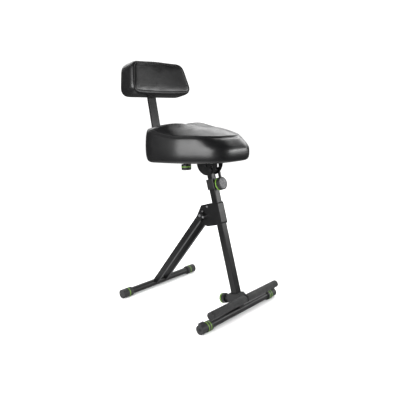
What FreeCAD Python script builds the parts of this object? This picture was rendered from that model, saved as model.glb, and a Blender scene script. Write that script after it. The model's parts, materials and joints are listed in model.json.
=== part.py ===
import FreeCAD, Part
import Sketcher
import math
import os

# A musician's stool: a leaning square post on a cross tube, two folding rear legs, a padded
# saddle that tilts and rises, a padded backrest on a bent flat bar, and a sliding footrest.
# Millimetres, +Z up, +Y towards the back, the origin on the floor under the middle of the box.

doc = FreeCAD.newDocument("stool")
sheet = doc.addObject("Spreadsheet::Sheet", "sizes")
nodes = []

DRIVING = {
    # floor tubes
    "foot_spacing": 480, "foot_axis_height": 18.7, "foot_tube_diameter": 30, "foot_tube_wall": 2,
    "front_foot_width": 490, "rear_foot_width": 460, "foot_cap_diameter": 40,
    "leveller_length": 30, "leveller_lug_length": 20, "leveller_lug_width": 16,
    "leveller_lug_reach": 29, "leveller_diameter": 37, "sleeve_length": 28,
    "rear_cap_length": 52, "cap_end_wall": 4, "foot_ring_width": 3.5, "foot_ring_diameter": 40.8,
    "ring_groove_diameter": 38, "first_ring_inset": 34, "second_ring_inset": 47,
    "rear_ring_inset": 33, "end_plug_length": 24, "end_screw_diameter": 5, "end_screw_head": 2,
    "tube_end_gap": 0.5,
    # main post and the clamp collar on its top
    "post_lean": 16.3, "post_width": 30, "post_wall": 2, "post_start": 6, "post_top": 541,
    "collar_width": 39, "collar_bottom": 506, "collar_top": 548, "collar_corner": 4,
    "inner_post_width": 25, "inner_post_wall": 2, "inner_post_bottom": 190, "inner_post_top": 590,
    "glide_length": 30, "slide_gap": 0.2,
    # hinge bracket and rear legs
    "bracket_width": 36.6, "bracket_gap_width": 30.6, "bracket_front": -18.3,
    "bracket_bottom": 358, "bracket_top": 451, "bracket_corner": 9, "bracket_heel_back": 62,
    "bracket_tail_back": 86, "bracket_tail_rise": 12, "bracket_nose_reach": 38,
    "leg_pivot_up": 410, "leg_pivot_back": 74.6, "leg_offset": 30,
    "leg_tube_depth": 25, "leg_tube_width": 15, "leg_tube_wall": 1.5, "leg_tube_end": 8,
    "leg_lug_thickness": 12, "leg_lug_insert": 40, "leg_lug_reach": 12.5,
    "pivot_diameter": 8, "fit_gap": 0.1, "stop_lift": 9, "touch_gap": 0.3,
    "pivot_head": 13, "pivot_head_height": 5, "stop_head": 11, "stop_head_height": 4,
    "pivot_spacer_diameter": 15, "bracket_bolt_diameter": 6, "bracket_bolt_head": 9,
    "bracket_bolt_head_height": 3, "spacer_diameter": 12,
    "upper_bolt_up": 440, "upper_bolt_back": 41.5, "rear_bolt_up": 424, "rear_bolt_back": 73,
    # footrest
    "footrest_up": 44.5, "footrest_back": -42, "footrest_width": 434, "grip_diameter": 31,
    "grip_gap": 9, "footrest_tube_diameter": 22, "footrest_tube_wall": 1.5, "grip_end_wall": 4,
    "block_width": 42, "block_bottom": 34, "block_top": 69, "block_rear": 36, "block_hole": 30.4,
    "block_front": -22, "cradle_back": 10, "cradle_up": 13, "block_screw_rise": 3,
    "bar_screw_head": 3, "bar_screw_hold": 20, "grip_clearance": 0.5,
    # clamp knobs
    "small_knob_diameter": 42, "large_knob_diameter": 52, "knob_depth": 24, "knob_ring_width": 4.5,
    "knob_ring_depth": 1.5, "knob_screw_diameter": 8, "knob_flutes": 16, "flute_diameter": 6,
    "height_knob_up": 521, "height_knob_neck": 10, "height_knob_neck_diameter": 26,
    "height_knob_ring_start": 3, "footrest_knob_neck": 22, "small_knob_neck_diameter": 22,
    "footrest_knob_ring_start": 14, "backrest_knob_neck": 5, "backrest_knob_ring_start": 8,
    "knob_face_depth": 1.5, "knob_face_diameter": 42, "knob_screw_hold": 14, "knob_chamfer": 2,
    "knob_clearance": 1, "knob_heel": 1, "knob_ring_stand": 0.5,
    # seat tilt
    "tilt_pivot_up": 606, "seat_tilt": 3, "tilt_plate_radius": 54, "tilt_plate_thickness": 4,
    "tilt_plate_gap": 32, "tilt_plate_shift": -3, "tilt_plate_top": 13, "tilt_slot_radius": 32.5,
    "tilt_slot_start": 34.2, "tilt_slot_spare": 1, "tilt_slot_sweep": 38, "tilt_slot_width": 9,
    "head_width": 31,
    "head_depth": 29, "head_dome_diameter": 24, "head_bottom": 574, "clamp_arm_diameter": 20,
    "clamp_head_diameter": 16, "clamp_head_height": 5, "clamp_nut_diameter": 12,
    "clamp_nut_height": 3, "lever_hub_diameter": 18, "lever_tip_diameter": 13,
    "lever_hub_length": 12, "lever_length": 38, "lever_width": 10, "lever_thickness": 7,
    "mount_plate_width": 100, "mount_plate_depth": 112, "mount_plate_thickness": 4.5,
    "mount_plate_corner": 8, "glide_foot_height": 6,
    # seat
    "seat_front": -150, "seat_rear": 250, "seat_half_width": 166, "seat_front_half_width": 104,
    "seat_bottom": 17.5, "seat_height": 160, "seat_crown": 174, "seat_crown_back": 80,
    "seat_rear_drop": 12, "seat_rear_slope": 24, "seat_dip": 140, "seat_dip_back": -20,
    "seat_brow": 104, "seat_brow_depth": 44, "seat_nose_top": 70, "seat_taper_start": -20,
    "seat_rear_corner": 76, "seat_front_corner": 78, "board_thickness": 12.5, "board_inset": 26,
    "seat_screw_diameter": 5, "seat_screw_head": 2.5, "seat_screw_length": 12, "seat_screw_inset": 12,
    # backrest
    "bar_width": 46, "bar_thickness": 8, "bar_start": 62, "bar_bend": 285, "bar_bend_radius": 30,
    "bar_height": 12.6, "bar_lean": 9.1, "bar_top": 392, "guide_start": 103, "guide_length": 56,
    "guide_wall": 3, "guide_flange": 14, "bar_gap": 0.3, "backrest_knob_back": 130.6,
    "back_bottom": 278, "back_top": 428, "back_bottom_half_width": 184, "back_top_half_width": 154,
    "back_board_thickness": 10, "back_cushion_thickness": 60, "back_curve_radius": 700,
    "back_curve_depth": 20, "back_bottom_corner": 34, "back_top_corner": 48, "back_board_inset": 22,
    "back_low_bolt": 36, "back_high_bolt": 92, "back_bolt_head": 12, "back_bolt_head_height": 4,
    "back_bolt_end": 1,
    # how far a cutting tool runs past the piece that it cuts
    "past": 10,
    # the place of the front tube along Y, set last so that the stool stands over the origin
    "front_foot_y": -240,
}


def put(alias, value):
    """Keep one number in the sheet, in the next free row, under a word of its own."""
    cell = f"B{put.row}"
    sheet.set(f"A{put.row}", alias)
    sheet.set(cell, str(value))
    sheet.setAlias(cell, alias)
    sheet.recompute()
    put.row += 1


put.row = 1
for word, number in DRIVING.items():
    put(word, number)


def size(alias):
    """The present value of a cell."""
    return float(sheet.get(alias))


def formula(text):
    """Point every alias in an expression at the sheet."""
    words = []
    for word in text.replace("(", " ( ").replace(")", " ) ").split():
        known = word.lstrip("-") in aliases
        words.append(word.replace(word.lstrip("-"), "sizes." + word.lstrip("-")) if known else word)
    return " ".join(words)


def bind(obj, **properties):
    """Bind properties, with a dot in a name written as two underscores, to expressions."""
    for name, text in properties.items():
        obj.setExpression(name.replace("__", "."), formula(text))


# ---- local frames: each is turned about X only, and is kept in the sheet -------------------------

X_AXIS = FreeCAD.Vector(1, 0, 0)


def turned(back, up, degrees):
    """A (back, up) pair turned about X."""
    angle = math.radians(degrees)
    return (back * math.cos(angle) - up * math.sin(angle), back * math.sin(angle) + up * math.cos(angle))


def put_frame(name, parent, back, up, turn):
    """A frame at (back, up) in its parent frame, turned from it; all kept from the front tube."""
    parent_y, parent_z, parent_turn = frames[parent]
    dy, dz = turned(back, up, parent_turn)
    frames[name] = (parent_y + dy, parent_z + dz, parent_turn + turn)
    for suffix, value in zip(("y", "z", "turn"), frames[name]):
        put(f"{name}_{suffix}", round(value, 4))


frames = {"ground": (0.0, 0.0, 0.0)}
put_frame("front_foot_axis", "ground", 0, size("foot_axis_height"), 0)
put_frame("rear_foot_axis", "ground", size("foot_spacing"), size("foot_axis_height"), 0)
put_frame("post", "front_foot_axis", 0, 0, -size("post_lean"))

pivot_y, pivot_z = turned(size("leg_pivot_back"), size("leg_pivot_up"), -size("post_lean"))
leg_run = size("foot_spacing") - pivot_y
put("leg_length", round(math.hypot(leg_run, pivot_z), 4))
leg_lean = math.degrees(math.atan2(leg_run, pivot_z))
put_frame("leg", "post", size("leg_pivot_back"), size("leg_pivot_up"), size("post_lean") + leg_lean)
put("stop_bolt_back", -size("leg_tube_depth") / 2 - size("pivot_diameter") / 2 - size("touch_gap"))
stop_y, stop_z = turned(size("stop_bolt_back"), size("stop_lift"), leg_lean + size("post_lean"))
put("stop_hole_back", round(size("leg_pivot_back") + stop_y, 4))
put("stop_hole_up", round(size("leg_pivot_up") + stop_z, 4))

knob_gap = size("knob_clearance")
put_frame("height_knob", "post", -size("collar_width") / 2 - knob_gap, size("height_knob_up"), 90)
footrest_screw_up = size("footrest_up") + size("block_screw_rise")
put_frame("footrest_knob", "post", size("block_rear") + knob_gap, footrest_screw_up, -90)
put_frame("seat", "post", 0, size("tilt_pivot_up"), size("post_lean") - size("seat_tilt"))
clamp_angle = 180 + size("tilt_slot_start") - size("seat_tilt") + size("post_lean")
clamp_back, clamp_up = turned(size("tilt_slot_radius"), 0, clamp_angle)
put("clamp_bolt_back", round(clamp_back, 4))
put("clamp_bolt_up", round(size("tilt_pivot_up") + clamp_up, 4))
put_frame("lever", "post", clamp_back, size("tilt_pivot_up") + clamp_up, 0)
guide_floor = size("bar_height") - size("bar_thickness") / 2 - size("bar_gap") - size("guide_wall")
put("guide_floor", round(guide_floor, 4))
put_frame("backrest_knob", "seat", size("backrest_knob_back"), guide_floor - knob_gap, 180)
put_frame("bar", "seat", size("bar_bend"), size("bar_height"), 0)
put_frame("backrest", "bar", 0, 0, -size("bar_lean"))
doc.recompute()
aliases = set(DRIVING) | {sheet.get(f"A{row}") for row in range(1, put.row)}


# ---- primitives, booleans and groups ------------------------------------------------------------

def box(name, wide, deep, tall, x="0", y="0", z="0"):
    """A box centred on x and y, standing on z."""
    obj = doc.addObject("Part::Box", name)
    bind(obj, Length=wide, Width=deep, Height=tall)
    bind(obj, Placement__Base__x=f"{x} - ( {wide} ) / 2", Placement__Base__z=z)
    bind(obj, Placement__Base__y=f"{y} - ( {deep} ) / 2")
    return obj


def rod(name, diameter, length, axis, x="0", y="0", z="0"):
    """A round bar from a point along +X, +Y or +Z."""
    obj = doc.addObject("Part::Cylinder", name)
    turns = {"x": ((0, 1, 0), 90), "y": ((1, 0, 0), -90), "z": ((0, 0, 1), 0)}
    direction, degrees = turns[axis]
    obj.Placement = FreeCAD.Placement(FreeCAD.Vector(), FreeCAD.Rotation(FreeCAD.Vector(*direction), degrees))
    bind(obj, Radius=f"( {diameter} ) / 2", Height=length)
    bind(obj, Placement__Base__x=x, Placement__Base__y=y, Placement__Base__z=z)
    return obj


def cross_rod(name, diameter, length, y="0", z="0"):
    """A round bar across the stool, centred on the middle plane."""
    return rod(name, diameter, length, "x", x=f"-( {length} ) / 2", y=y, z=z)


def cut(name, base, *tools):
    """A base with one or more tools taken away."""
    obj = doc.addObject("Part::Cut", name)
    obj.Base = base
    obj.Tool = tools[0] if len(tools) == 1 else fuse(name + "_tools", *tools)
    return obj


def fuse(name, *pieces):
    obj = doc.addObject("Part::MultiFuse", name)
    obj.Shapes = list(pieces)
    return obj


def overlap(name, *pieces):
    obj = doc.addObject("Part::MultiCommon", name)
    obj.Shapes = list(pieces)
    return obj


def group(name, *pieces):
    """Separate solids kept in one node."""
    obj = doc.addObject("Part::Compound", name)
    obj.Links = list(pieces)
    return obj


def soften(name, base, radius, along):
    """Round the straight edges of a shape that run along X, Y or Z."""
    doc.recompute()
    obj = doc.addObject("Part::Fillet", name)
    obj.Base = base
    unit = {"x": FreeCAD.Vector(1, 0, 0), "y": FreeCAD.Vector(0, 1, 0), "z": FreeCAD.Vector(0, 0, 1)}[along]
    chosen = []
    for number, edge in enumerate(base.Shape.Edges, 1):
        straight = isinstance(edge.Curve, (Part.Line, Part.LineSegment))
        if straight and abs(edge.tangentAt(edge.FirstParameter).dot(unit)) > 0.999:
            chosen.append((number, size(radius), size(radius)))
    obj.Edges = chosen
    return obj


def plane_of(body, role):
    return [plane for plane in body.Origin.OriginFeatures if plane.Role == role][0]


def outline_sketch(body, name, role, corners):
    """A closed outline of straight lines whose corners are bound to expressions."""
    sketch = body.newObject("Sketcher::SketchObject", name)
    sketch.AttachmentSupport = (plane_of(body, role), "")
    sketch.MapMode = "FlatFace"
    values = [(sheet_value(a), sheet_value(b)) for a, b in corners]
    count = len(corners)
    for index in range(count):
        start = FreeCAD.Vector(*values[index], 0)
        end = FreeCAD.Vector(*values[(index + 1) % count], 0)
        sketch.addGeometry(Part.LineSegment(start, end))
    for index in range(count):
        sketch.addConstraint(Sketcher.Constraint("Coincident", index, 2, (index + 1) % count, 1))
    for index, (first, second) in enumerate(corners):
        for kind, text, value in zip(("DistanceX", "DistanceY"), (first, second), values[index]):
            number = sketch.addConstraint(Sketcher.Constraint(kind, -1, 1, index, 1, value))
            sketch.setExpression(f"Constraints[{number}]", formula(text))
    return sketch


def sheet_value(text):
    """The number that an expression of aliases gives now."""
    return float(sheet.evalExpression(formula(text)))


def plate(name, role, corners, thickness):
    """A flat piece: an outline padded evenly to both sides of its plane."""
    body = doc.addObject("PartDesign::Body", name)
    sketch = outline_sketch(body, name + "_outline", role, corners)
    pad = body.newObject("PartDesign::Pad", name + "_pad")
    pad.Profile = sketch
    pad.Midplane = True
    bind(pad, Length=thickness)
    return body


def turned_piece(name, corners):
    """A round piece: half of its outline (radius, height) turned about Z."""
    body = doc.addObject("PartDesign::Body", name)
    sketch = outline_sketch(body, name + "_outline", "XZ_Plane", corners)
    turn = body.newObject("PartDesign::Revolution", name + "_turn")
    turn.Profile = sketch
    turn.ReferenceAxis = (sketch, ["V_Axis"])
    turn.Angle = 360
    return body


def node(name, frame, obj):
    """Name a finished piece and stand it in its frame."""
    if obj.TypeId != "Part::Compound":
        obj = group(name + "_node", obj)
    obj.Label = name
    obj.Placement = FreeCAD.Placement(FreeCAD.Vector(), FreeCAD.Rotation(X_AXIS, 1))
    bind(obj, Placement__Rotation__Angle=f"{frame}_turn")
    bind(obj, Placement__Base__y=f"front_foot_y + {frame}_y", Placement__Base__z=f"{frame}_z")
    nodes.append(obj)


def both_sides(make):
    """The two mirror-image copies of a piece, left first."""
    return [make(side) for side in ("left", "right")]


def sign(side):
    return "-1" if side == "left" else "1"


def end_rod(name, side, diameter, from_end, length, half_width):
    """A round bar on a floor tube, measured inwards from the stool's outer end."""
    if side == "right":
        start = f"{half_width} - ( {from_end} ) - ( {length} )"
    else:
        start = f"{from_end} - {half_width}"
    return rod(name, diameter, length, "x", x=start)


# ---- front floor tube ---------------------------------------------------------------------------

def front_foot():
    half = "front_foot_width / 2"
    length = "front_foot_width - 2 * ( cap_end_wall + tube_end_gap )"
    bore = "foot_tube_diameter - 2 * foot_tube_wall"
    tube = cut("front_foot_shell", cross_rod("front_foot_bar", "foot_tube_diameter", length),
               cross_rod("front_foot_bore", bore, length + " + past"))
    node("front_foot_tube", "front_foot_axis", tube)

    def sole(name):
        return box(name, "front_foot_width", "foot_cap_diameter", "foot_cap_diameter",
                   z="-foot_axis_height - foot_cap_diameter")

    def ring_at(name, side, inset, outer, inner):
        start = f"{inset} - foot_ring_width / 2"
        band = end_rod(name + "_band", side, outer, start, "foot_ring_width", half)
        hole = end_rod(name + "_hole", side, inner, start, "foot_ring_width", half)
        return cut(name, band, hole)

    def sleeve(side):
        tag = f"front_sleeve_{side}"
        start = "leveller_length + tube_end_gap"
        body = end_rod(tag + "_body", side, "foot_cap_diameter", start, "sleeve_length", half)
        hole = end_rod(tag + "_hole", side, "foot_tube_diameter", start, "sleeve_length", half)
        grooves = [ring_at(f"{tag}_groove_{inset}", side, inset, "foot_cap_diameter + past",
                           "ring_groove_diameter") for inset in ("first_ring_inset", "second_ring_inset")]
        return cut(tag, body, hole, sole(tag + "_sole"), *grooves)

    def rings(side):
        made = []
        for inset in ("first_ring_inset", "second_ring_inset"):
            tag = f"front_ring_{side}_{inset}"
            whole = ring_at(tag + "_whole", side, inset, "foot_ring_diameter", "ring_groove_diameter")
            made.append(cut(tag, whole, sole(tag + "_sole")))
        return made

    def end_plug(side):
        tag = f"front_plug_{side}"
        start = "cap_end_wall + tube_end_gap"
        body = end_rod(tag + "_body", side, bore, start, "end_plug_length", half)
        hole = end_rod(tag + "_hole", side, "end_screw_diameter", start, "end_plug_length", half)
        return cut(tag, body, hole)

    def end_screw(side):
        tag = f"end_screw_{side}"
        shank = end_rod(tag + "_shank", side, "end_screw_diameter", "0", "end_plug_length", half)
        head = end_rod(tag + "_head", side, "2 * end_screw_diameter", "-end_screw_head", "end_screw_head",
                       half)
        return fuse(tag, shank, head)

    node("front_foot_sleeves", "front_foot_axis", group("sleeves", *both_sides(sleeve)))
    all_rings = rings("left") + rings("right")
    node("front_foot_rings", "front_foot_axis", group("rings", *all_rings))
    node("front_tube_plugs", "front_foot_axis", group("plugs", *both_sides(end_plug)))
    node("leveller_screws", "front_foot_axis", group("end_screws", *both_sides(end_screw)))


def leveller(side):
    """A cup that turns on the tube's end, with a lug that lifts that end when it points down."""
    half = "front_foot_width / 2"
    tag = f"leveller_{side}"
    cup = end_rod(tag + "_cup", side, "leveller_diameter", "0", "leveller_length", half)
    shift = f"{sign(side)} * ( {half} - leveller_lug_length / 2 )"
    web_height = "leveller_lug_reach - leveller_lug_width / 2"
    web = box(tag + "_web", "leveller_lug_length", "leveller_lug_width", web_height, x=shift)
    crest = end_rod(tag + "_crest", side, "leveller_lug_width", "0", "leveller_lug_length", half)
    bind(crest, Placement__Base__z=web_height)
    bore = end_rod(tag + "_bore", side, "foot_tube_diameter + fit_gap", "cap_end_wall",
                   "leveller_length", half)
    screw = end_rod(tag + "_screw", side, "end_screw_diameter + fit_gap", "0", "cap_end_wall", half)
    node(tag, "front_foot_axis", cut(tag + "_body", fuse(tag + "_solid", cup, web, crest), bore, screw))


# ---- main post, hinge bracket and clamp collar --------------------------------------------------

def main_post():
    tall = "post_top - post_start"
    outer = soften("post_outer", box("post_bar", "post_width", "post_width", tall, z="post_start"),
                   "post_wall", "z")
    hollow = "post_width - 2 * post_wall"
    bore = box("post_bore", hollow, hollow, tall, z="post_start")
    saddle = cross_rod("post_saddle", "foot_tube_diameter", "2 * post_width")
    screw_hole = rod("post_screw_hole", "knob_screw_diameter + fit_gap", "post_width / 2 + past", "y",
                     y="-post_width / 2 - past", z="height_knob_up")
    node("main_post", "post", cut("post_tube", outer, bore, saddle, screw_hole))


def bolt_holes():
    """The bores of the four cross bolts in the bracket's cheeks."""
    wide = "bracket_width + past"
    return [
        cross_rod("pivot_hole", "pivot_diameter", wide, y="leg_pivot_back", z="leg_pivot_up"),
        cross_rod("stop_hole", "pivot_diameter", wide, y="stop_hole_back", z="stop_hole_up"),
        cross_rod("upper_hole", "bracket_bolt_diameter", wide, y="upper_bolt_back", z="upper_bolt_up"),
        cross_rod("rear_hole", "bracket_bolt_diameter", wide, y="rear_bolt_back", z="rear_bolt_up"),
    ]


def hinge_bracket():
    """A channel folded round the post's front, with cheeks that reach back to the leg pivot."""
    corners = [
        ("bracket_front", "bracket_bottom"),
        ("bracket_heel_back", "bracket_bottom"),
        ("bracket_tail_back", "bracket_bottom + bracket_tail_rise"),
        ("leg_pivot_back + bracket_nose_reach", "leg_pivot_up"),
        ("leg_pivot_back", "bracket_top"),
        ("bracket_front", "bracket_top"),
    ]
    cheeks = soften("bracket_rounded", plate("bracket_blank", "YZ_Plane", corners, "bracket_width"),
                    "bracket_corner", "x")
    reach = "( leg_pivot_back + bracket_nose_reach + bracket_gap_width / 2 + past )"
    inside = box("bracket_inside", "bracket_gap_width", reach, "bracket_top - bracket_bottom + 2 * past",
                 y=f"{reach} / 2 - bracket_gap_width / 2", z="bracket_bottom - past")
    node("hinge_bracket", "post", cut("bracket_channel", cheeks, inside, *bolt_holes()))


def cross_bolt(name, diameter, span, head, head_height, back, up):
    """A bolt across the stool with a hexagon head on the left and a hexagon nut on the right."""
    shank = cross_rod(name + "_shank", diameter, f"{span} + 2 * ( {head_height} )", y=back, z=up)
    ends = []
    for side in ("left", "right"):
        end = doc.addObject("Part::Prism", f"{name}_{side}_end")
        end.Polygon = 6
        end.Placement = FreeCAD.Placement(FreeCAD.Vector(),
                                          FreeCAD.Rotation(FreeCAD.Vector(0, 1, 0), 90))
        start = f"( {span} ) / 2" if side == "right" else f"-( {span} ) / 2 - ( {head_height} )"
        bind(end, Circumradius=f"( {head} ) / 2", Height=head_height)
        bind(end, Placement__Base__x=start, Placement__Base__y=back, Placement__Base__z=up)
        ends.append(end)
    return fuse(name, shank, *ends)


def bracket_fasteners():
    bolts = [
        cross_bolt("upper_bolt", "bracket_bolt_diameter", "bracket_width", "bracket_bolt_head",
                   "bracket_bolt_head_height", "upper_bolt_back", "upper_bolt_up"),
        cross_bolt("rear_bolt", "bracket_bolt_diameter", "bracket_width", "bracket_bolt_head",
                   "bracket_bolt_head_height", "rear_bolt_back", "rear_bolt_up"),
    ]
    node("bracket_bolts", "post", group("bolt_pair", *bolts))
    spacers = []
    for name, back, up, hole in (
        ("upper", "upper_bolt_back", "upper_bolt_up", "bracket_bolt_diameter"),
        ("rear", "rear_bolt_back", "rear_bolt_up", "bracket_bolt_diameter"),
        ("stop", "stop_hole_back", "stop_hole_up", "pivot_diameter"),
    ):
        sleeve = cross_rod(name + "_sleeve", "spacer_diameter", "bracket_gap_width", y=back, z=up)
        hole = cross_rod(name + "_sleeve_hole", hole, "bracket_gap_width + past", y=back, z=up)
        spacers.append(cut(name + "_spacer", sleeve, hole))
    node("bracket_spacers", "post", group("spacer_sleeves", *spacers))


def leg_pivot():
    """The bolt that both legs turn on, the bolt that they rest against, and their washers."""
    span = "2 * ( leg_offset + leg_lug_thickness / 2 + touch_gap )"
    pivot = cross_bolt("pivot_bolt_body", "pivot_diameter", span, "pivot_head", "pivot_head_height",
                       "0", "0")
    node("pivot_bolt", "leg", pivot)
    past_legs = "2 * ( leg_offset + leg_tube_width / 2 + touch_gap )"
    stop = cross_bolt("stop_bolt_body", "pivot_diameter", past_legs, "stop_head", "stop_head_height",
                      "stop_bolt_back", "stop_lift")
    node("leg_stop_bolt", "leg", stop)

    def washer(side):
        tag = f"pivot_washer_{side}"
        inner = "leg_offset - leg_lug_thickness / 2 - touch_gap"
        thick = f"{inner} - bracket_width / 2"
        start = "bracket_width / 2" if side == "right" else f"-( {inner} )"
        ring = rod(tag + "_ring", "pivot_spacer_diameter", thick, "x", x=start)
        hole = rod(tag + "_hole", "pivot_diameter", thick, "x", x=start)
        return cut(tag, ring, hole)

    node("pivot_washers", "leg", group("washers", *both_sides(washer)))


def height_collar():
    tall = "collar_top - collar_bottom"
    outer = soften("collar_rounded",
                   box("collar_block", "collar_width", "collar_width", tall, z="collar_bottom"),
                   "collar_corner", "z")
    pocket_width = "post_width + slide_gap"
    pocket = box("collar_pocket", pocket_width, pocket_width, "post_top - collar_bottom", z="collar_bottom")
    mouth_width = "inner_post_width + 2 * slide_gap"
    mouth = box("collar_mouth", mouth_width, mouth_width, tall, z="collar_bottom + past")
    screw = rod("collar_screw_hole", "knob_screw_diameter + fit_gap", "collar_width / 2 + past", "y",
                y="-collar_width / 2 - past", z="height_knob_up")
    node("height_collar", "post", cut("collar_shell", outer, pocket, mouth, screw))


# ---- clamp knobs --------------------------------------------------------------------------------

def knob(name, frame, diameter, neck, neck_diameter, ring_start, reach, face):
    """A round knob turned about its screw: neck, grip with a coloured band, fluted rim."""
    body_radius = f"{diameter} / 2"
    top = f"{neck} + knob_depth"
    groove = f"{body_radius} - knob_ring_depth"
    ring_low = f"{neck} + {ring_start}"
    ring_high = f"{ring_low} + knob_ring_width"
    bore = "knob_screw_diameter / 2"
    corners = [
        (bore, "0"), (f"{neck_diameter} / 2", "0"), (f"{neck_diameter} / 2", neck),
        (f"{body_radius} - knob_heel", neck), (body_radius, f"{neck} + knob_heel"),
        (body_radius, ring_low), (groove, ring_low), (groove, ring_high), (body_radius, ring_high),
        (body_radius, f"{top} - knob_chamfer"), (f"{body_radius} - knob_chamfer", top),
    ]
    if face:
        corners += [("knob_face_diameter / 2", top), ("knob_face_diameter / 2", f"{top} - knob_face_depth")]
    last = f"{top} - knob_face_depth" if face else top
    corners += [("0", last), ("0", f"{neck} + knob_screw_hold"), (bore, f"{neck} + knob_screw_hold")]
    body = turned_piece(name + "_body", corners)
    doc.recompute()
    whole = body.Shape.Volume
    flutes = body.newObject("Sketcher::SketchObject", name + "_flute_sketch")
    flutes.AttachmentSupport = (plane_of(body, "XY_Plane"), "")
    flutes.MapMode = "FlatFace"
    bind(flutes, AttachmentOffset__Base__z=top)
    centre = FreeCAD.Vector(size(diameter) / 2 + size("flute_diameter") / 4, 0, 0)
    flutes.addGeometry(Part.Circle(centre, FreeCAD.Vector(0, 0, 1), size("flute_diameter") / 2))
    pocket = body.newObject("PartDesign::Pocket", name + "_flute")
    pocket.Profile = flutes
    bind(pocket, Length=f"knob_depth - {ring_start} - knob_ring_width - knob_heel")
    around = body.newObject("PartDesign::PolarPattern", name + "_flutes")
    around.Originals = [pocket]
    around.Axis = (plane_of(body, "Z_Axis"), [""])
    around.Angle = 360
    around.Occurrences = int(size("knob_flutes"))
    body.Tip = around
    doc.recompute()
    if not 0.8 * whole < body.Shape.Volume < 0.999 * whole:
        raise SystemExit(f"{name}: the flutes are not cut")
    node(name, frame, body)

    ring_outer = f"{diameter} + 2 * knob_ring_stand"
    band = rod(name + "_ring_band", ring_outer, "knob_ring_width", "z", z=ring_low)
    hole = rod(name + "_ring_hole", f"2 * ( {groove} )", "knob_ring_width", "z", z=ring_low)
    node(name + "_ring", frame, cut(name + "_ring_body", band, hole))
    screw = rod(name + "_screw_body", "knob_screw_diameter", f"{reach} + {neck} + knob_screw_hold", "z",
                z=f"-( {reach} )")
    node(name + "_screw", frame, screw)
    if face:
        disc = rod(name + "_face_disc", "knob_face_diameter", "knob_face_depth", "z", z=last)
        node(name + "_face", frame, disc)


def all_knobs():
    reach = "collar_width / 2 + knob_clearance - inner_post_width / 2 - touch_gap"
    knob("height_knob", "height_knob", "large_knob_diameter", "height_knob_neck",
         "height_knob_neck_diameter", "height_knob_ring_start", reach, True)
    reach = "block_rear + knob_clearance - post_width / 2 - touch_gap"
    knob("footrest_knob", "footrest_knob", "small_knob_diameter", "footrest_knob_neck",
         "small_knob_neck_diameter", "footrest_knob_ring_start", reach, False)
    knob("backrest_knob", "backrest_knob", "small_knob_diameter", "backrest_knob_neck",
         "small_knob_neck_diameter", "backrest_knob_ring_start", "knob_clearance + guide_wall", False)


# ---- rear legs ----------------------------------------------------------------------------------

def rear_legs():
    tall = "leg_length - leg_tube_end"
    for side in ("left", "right"):
        tag = f"rear_leg_{side}"
        shift = f"{sign(side)} * leg_offset"
        outer = soften(tag + "_rounded",
                       box(tag + "_bar", "leg_tube_width", "leg_tube_depth", tall, x=shift, z="-leg_length"),
                       "leg_tube_wall", "z")
        bore = box(tag + "_bore", "leg_tube_width - 2 * leg_tube_wall", "leg_tube_depth - 2 * leg_tube_wall",
                   tall, x=shift, z="-leg_length")
        saddle = cross_rod(tag + "_saddle", "foot_tube_diameter", "2 * ( leg_offset + leg_tube_width )",
                           z="-leg_length")
        node(tag, "leg", cut(tag + "_tube", outer, bore, saddle))

    def lug(side):
        tag = f"leg_lug_{side}"
        shift = f"{sign(side)} * leg_offset"
        eye = box(tag + "_eye", "leg_lug_thickness", "leg_tube_depth", "leg_tube_end", x=shift,
                  z="-leg_tube_end")
        dome = cross_rod(tag + "_dome", "leg_tube_depth", "leg_lug_thickness")
        bind(dome, Placement__Base__x=f"{shift} - leg_lug_thickness / 2")
        heel = box(tag + "_heel", "leg_lug_thickness", "leg_tube_depth / 2", "leg_lug_reach", x=shift,
                   y="-leg_tube_depth / 4")
        tail = box(tag + "_tail", "leg_lug_thickness", "leg_tube_depth - 2 * leg_tube_wall",
                   "leg_lug_insert - leg_tube_end", x=shift, z="-leg_lug_insert")
        hole = cross_rod(tag + "_hole", "pivot_diameter + fit_gap", "2 * ( leg_offset + leg_tube_width )")
        return cut(tag, fuse(tag + "_solid", eye, dome, heel, tail), hole)

    node("rear_leg_lugs", "leg", group("leg_lugs", *both_sides(lug)))


def rear_foot():
    half = "rear_foot_width / 2"
    length = "rear_foot_width - 2 * cap_end_wall"
    bore = "foot_tube_diameter - 2 * foot_tube_wall"
    tube = cut("rear_foot_shell", cross_rod("rear_foot_bar", "foot_tube_diameter", length),
               cross_rod("rear_foot_bore", bore, length + " + past"))
    node("rear_foot_tube", "rear_foot_axis", tube)

    def sole(name):
        return box(name, "rear_foot_width", "foot_cap_diameter", "foot_cap_diameter",
                   z="-foot_axis_height - foot_cap_diameter")

    def ring(side, outer, tag):
        start = "rear_ring_inset - foot_ring_width / 2"
        band = end_rod(tag + "_band", side, outer, start, "foot_ring_width", half)
        hole = end_rod(tag + "_hole", side, "ring_groove_diameter", start, "foot_ring_width", half)
        return cut(tag, band, hole)

    def cap(side):
        tag = f"rear_cap_{side}"
        body = end_rod(tag + "_body", side, "foot_cap_diameter", "0", "rear_cap_length", half)
        hole = end_rod(tag + "_hole", side, "foot_tube_diameter", "cap_end_wall", "rear_cap_length", half)
        groove = ring(side, "foot_cap_diameter + past", tag + "_groove")
        return cut(tag, body, hole, groove, sole(tag + "_sole"))

    def green(side):
        tag = f"rear_ring_{side}"
        return cut(tag, ring(side, "foot_ring_diameter", tag + "_whole"), sole(tag + "_sole"))

    node("rear_foot_caps", "rear_foot_axis", group("rear_caps", *both_sides(cap)))
    node("rear_foot_rings", "rear_foot_axis", group("rear_rings", *both_sides(green)))


# ---- footrest -----------------------------------------------------------------------------------

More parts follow.
